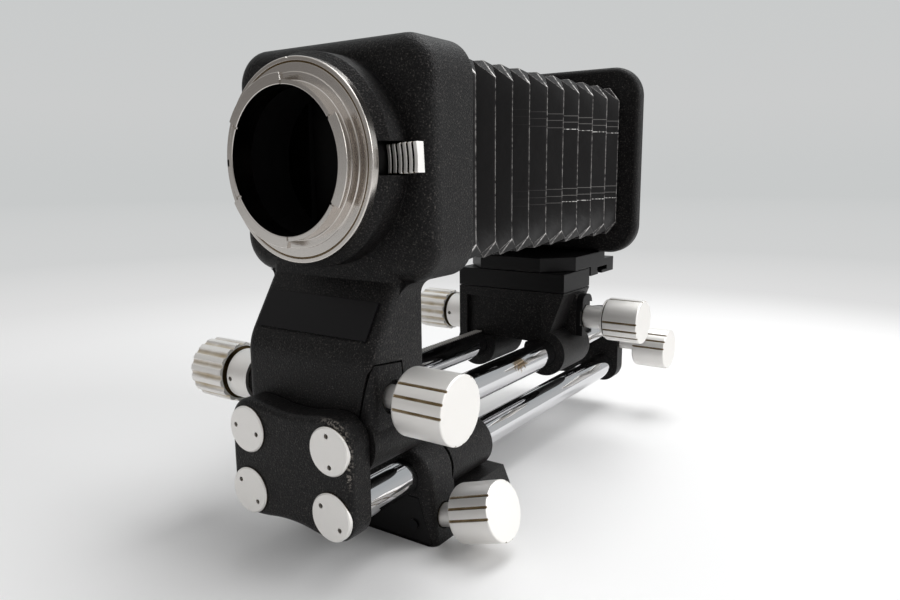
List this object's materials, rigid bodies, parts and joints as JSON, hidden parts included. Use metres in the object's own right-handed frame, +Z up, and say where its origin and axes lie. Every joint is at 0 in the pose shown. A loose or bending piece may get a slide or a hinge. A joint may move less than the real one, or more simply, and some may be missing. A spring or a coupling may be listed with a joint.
{
  "type": "macro bellows unit",
  "caption": "Macro bellows unit: camera and lens standards on twin rails with rack drives, a folding bellows between them, and a sliding tripod block.",
  "frame": {"origin": "mouth of the tripod thread, in the flat face that the unit stands on", "axes": "+Y from the camera end to the lens end along the rails, +X across the rails to the clamp knobs, +Z up"},
  "size_m": [0.1118, 0.2079, 0.1596],
  "materials": {
    "crackle_paint": "black crackle paint on cast light alloy",
    "satin_black_paint": "satin black paint on light alloy",
    "chromed_steel": "polished chrome plate",
    "turned_aluminium": "fine turned, clear anodised",
    "chromed_brass": "satin chrome plate on brass",
    "black_anodised": "matt black anodised",
    "machined_steel": "machined",
    "black_screws": "blackened",
    "brass_shoes": "turned",
    "coated_cloth": "thin black coated cloth, folded",
    "plate_enamel": "satin black enamel, bare"
  },
  "bodies": {
    "tripod_block": {"tripod_block_body": "crackle_paint", "tripod_cover": "satin_black_paint", "tripod_cover_screws": "black_screws", "tripod_thread_insert": "machined_steel", "tripod_clamp_shoe": "brass_shoes"},
    "tripod_lock": {"tripod_lock_spindle": "turned_aluminium", "tripod_lock_knob": "turned_aluminium"},
    "rails": {"rear_end_plate": "crackle_paint", "front_end_plate": "crackle_paint", "upper_left_rail": "chromed_steel", "upper_right_rail": "chromed_steel", "lower_left_rail": "chromed_steel", "lower_right_rail": "chromed_steel", "focus_rack": "machined_steel", "rear_rail_caps": "turned_aluminium", "front_rail_caps": "turned_aluminium", "bellows": "coated_cloth"},
    "accessory_clamp": {"accessory_clamp_screw": "turned_aluminium", "accessory_clamp_knob": "turned_aluminium"},
    "camera_standard": {"camera_standard_body": "crackle_paint", "name_plate": "plate_enamel", "rotation_button_spring": "machined_steel", "bellows_rear_frame": "black_anodised", "camera_clamp_plate": "crackle_paint", "camera_clamp_shoe": "brass_shoes", "camera_drive_sleeve": "turned_aluminium"},
    "camera_mount": {"mount_sleeve": "black_anodised", "bayonet_flange": "chromed_brass", "turret_retaining_ring": "black_anodised", "bayonet_screws": "black_screws"},
    "release_button": {"rotation_release_button": "turned_aluminium"},
    "camera_lock": {"camera_lock_spindle": "turned_aluminium", "camera_lock_knob": "turned_aluminium"},
    "camera_drive": {"camera_pinion_shaft": "machined_steel", "camera_drive_knob": "turned_aluminium"},
    "lens_carriage": {"lens_carriage_body": "crackle_paint", "lens_clamp_plate": "satin_black_paint", "lens_clamp_shoe": "brass_shoes", "lens_drive_sleeve": "turned_aluminium", "swing_pivot": "machined_steel"},
    "lens_lock": {"lens_lock_spindle": "turned_aluminium", "lens_lock_knob": "turned_aluminium"},
    "lens_drive": {"lens_pinion_shaft": "machined_steel", "lens_drive_knob": "turned_aluminium"},
    "swing": {"swing_plate": "satin_black_paint"},
    "shift": {"shift_slide": "satin_black_paint", "lens_frame_plate": "crackle_paint", "bellows_front_frame": "black_anodised", "lens_mount_ring": "chromed_brass", "lens_mount_screws": "black_screws", "lens_button_spring": "machined_steel"},
    "lens_release": {"lens_release_button": "machined_steel"},
    "swing_lock": {"swing_lock_lever": "black_anodised"},
    "shift_lock": {"shift_lock_lever": "black_anodised"}
  },
  "joints": [
    {"name": "rails_slide", "type": "slide", "parent": "tripod_block", "child": "rails", "axis": [0, 1, 0], "range_m": [-0.1215, 0.0245]},
    {"name": "tripod_lock_turn", "type": "hinge", "parent": "tripod_block", "child": "tripod_lock", "pos_m": [0.0353, -0.0174, 0.011], "axis": [0.9511, 0, 0.309], "range_deg": [0, 270]},
    {"name": "accessory_clamp_turn", "type": "hinge", "parent": "rails", "child": "accessory_clamp", "pos_m": [0.03, 0.1404, 0.03257], "axis": [1, 0, 0], "range_deg": [0, 270]},
    {"name": "camera_slide", "type": "slide", "parent": "rails", "child": "camera_standard", "axis": [0, 1, 0], "range_m": [0, 0.035], "deforming": ["bellows"]},
    {"name": "camera_drive_turn", "type": "hinge", "parent": "camera_standard", "child": "camera_drive", "pos_m": [-0.04, -0.0355, 0.04945], "axis": [1, 0, 0], "range_deg": [-617.1, 0]},
    {"name": "camera_lock_turn", "type": "hinge", "parent": "camera_standard", "child": "camera_lock", "pos_m": [0.03, -0.0395, 0.0534], "axis": [1, 0, 0], "range_deg": [0, 270]},
    {"name": "mount_turn", "type": "hinge", "parent": "camera_standard", "child": "camera_mount", "pos_m": [0, -0.0471, 0.1201], "axis": [0, 1, 0], "range_deg": [-90, 90]},
    {"name": "release_button_slide", "type": "slide", "parent": "camera_standard", "child": "release_button", "axis": [1, 0, 0], "range_m": [0, 0.002], "stiffness_N_per_m": 400, "deforming": ["rotation_button_spring"]},
    {"name": "lens_slide", "type": "slide", "parent": "rails", "child": "lens_carriage", "axis": [0, 1, 0], "range_m": [-0.027, 0.02], "deforming": ["bellows"]},
    {"name": "lens_drive_turn", "type": "hinge", "parent": "lens_carriage", "child": "lens_drive", "pos_m": [-0.04, 0.09, 0.0512], "axis": [1, 0, 0], "range_deg": [-229.3, 309.5]},
    {"name": "lens_lock_turn", "type": "hinge", "parent": "lens_carriage", "child": "lens_lock", "pos_m": [0.03, 0.0912, 0.0549], "axis": [1, 0, 0], "range_deg": [0, 270]},
    {"name": "swing_turn", "type": "hinge", "parent": "lens_carriage", "child": "swing", "pos_m": [0, 0.091, 0.067], "axis": [0, 0, 1], "range_deg": [-25, 25], "deforming": ["bellows"]},
    {"name": "swing_lock_turn", "type": "hinge", "parent": "lens_carriage", "child": "swing_lock", "pos_m": [-0.013, 0.098, 0.0584], "axis": [0, 1, 0], "range_deg": [-40, 0]},
    {"name": "shift_slide_x", "type": "slide", "parent": "swing", "child": "shift", "axis": [1, 0, 0], "range_m": [-0.01, 0.01], "deforming": ["bellows"]},
    {"name": "shift_lock_turn", "type": "hinge", "parent": "shift", "child": "shift_lock", "pos_m": [0.014, 0.125, 0.07425], "axis": [0, 1, 0], "range_deg": [-40, 0]},
    {"name": "lens_release_slide", "type": "slide", "parent": "shift", "child": "lens_release", "axis": [0, 1, 0], "range_m": [-0.002, 0], "stiffness_N_per_m": 400, "deforming": ["lens_button_spring"]}
  ],
  "couplings": [
    {"joint": "camera_drive_turn", "follows": "camera_slide", "rad_per_m": -307.69},
    {"joint": "lens_drive_turn", "follows": "lens_slide", "rad_per_m": -200}
  ]
}
